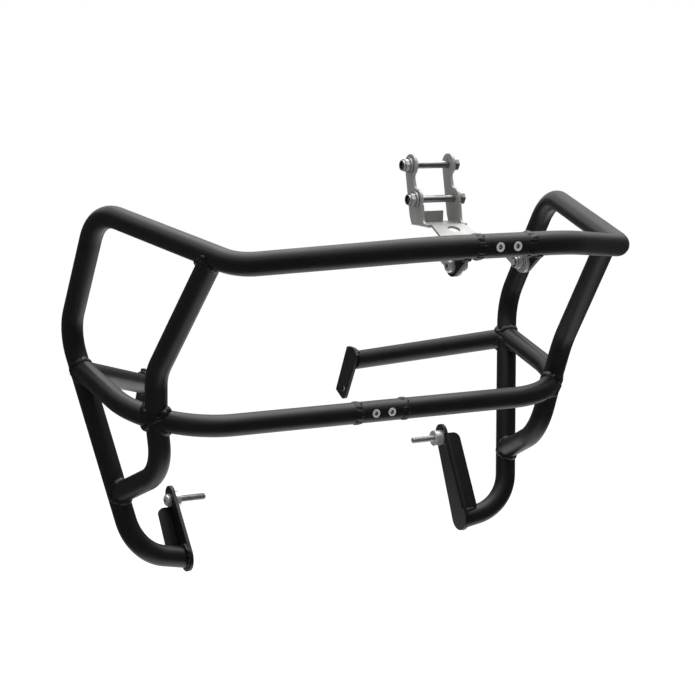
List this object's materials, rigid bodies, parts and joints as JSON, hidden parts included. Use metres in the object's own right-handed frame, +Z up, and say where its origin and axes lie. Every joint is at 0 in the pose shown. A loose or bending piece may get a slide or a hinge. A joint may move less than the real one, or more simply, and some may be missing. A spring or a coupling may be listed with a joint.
{
  "type": "motorcycle crash bars",
  "caption": "Bent and welded tube crash bars for a motorcycle, in bolted halves with engine brackets, rear arms and a sheet-metal head bracket.",
  "frame": {"origin": "middle of the bounding box at the height of the lowest point", "axes": "+X to the right half as seen from the front, +Y to the rear of the motorcycle, +Z up"},
  "size_m": [0.6358, 0.684, 0.5089],
  "materials": {
    "powder_coat": "satin black powder coat on steel tube and plate",
    "coated_weld": "satin black powder coat over rippled weld beads",
    "stainless_sheet": "satin stainless sheet",
    "stainless_screw": "plain stainless fasteners",
    "zinc_steel": "bright zinc plating",
    "turned_steel": "turned and zinc plated collar",
    "black_nylon": "black nylon locking rings"
  },
  "bodies": {
    "root": {"main_tube_left": "powder_coat", "main_tube_right": "powder_coat", "lower_rail_left": "powder_coat", "lower_rail_right": "powder_coat", "front_brace_left": "powder_coat", "front_brace_right": "powder_coat", "lower_loop_left": "powder_coat", "lower_loop_right": "powder_coat", "rear_arm_left": "powder_coat", "rear_arm_right": "powder_coat", "arm_plate_left": "powder_coat", "arm_plate_right": "powder_coat", "engine_bracket_left": "powder_coat", "engine_bracket_right": "powder_coat", "lug_left": "powder_coat", "lug_right": "powder_coat", "upper_coupling_left": "powder_coat", "upper_coupling_right": "powder_coat", "lower_coupling_left": "powder_coat", "lower_coupling_right": "powder_coat", "weld_beads_left": "coated_weld", "weld_beads_right": "coated_weld", "head_bracket": "stainless_sheet", "coupling_screws": "stainless_screw", "engine_bolts": "zinc_steel", "engine_washers": "zinc_steel", "engine_spacers": "turned_steel", "lug_bolts": "zinc_steel", "lug_washers": "zinc_steel", "lug_nuts": "zinc_steel", "clamp_bolts": "stainless_screw", "clamp_washers": "stainless_screw", "clamp_nuts": "stainless_screw", "nylon_rings": "black_nylon"}
  },
  "joints": []
}
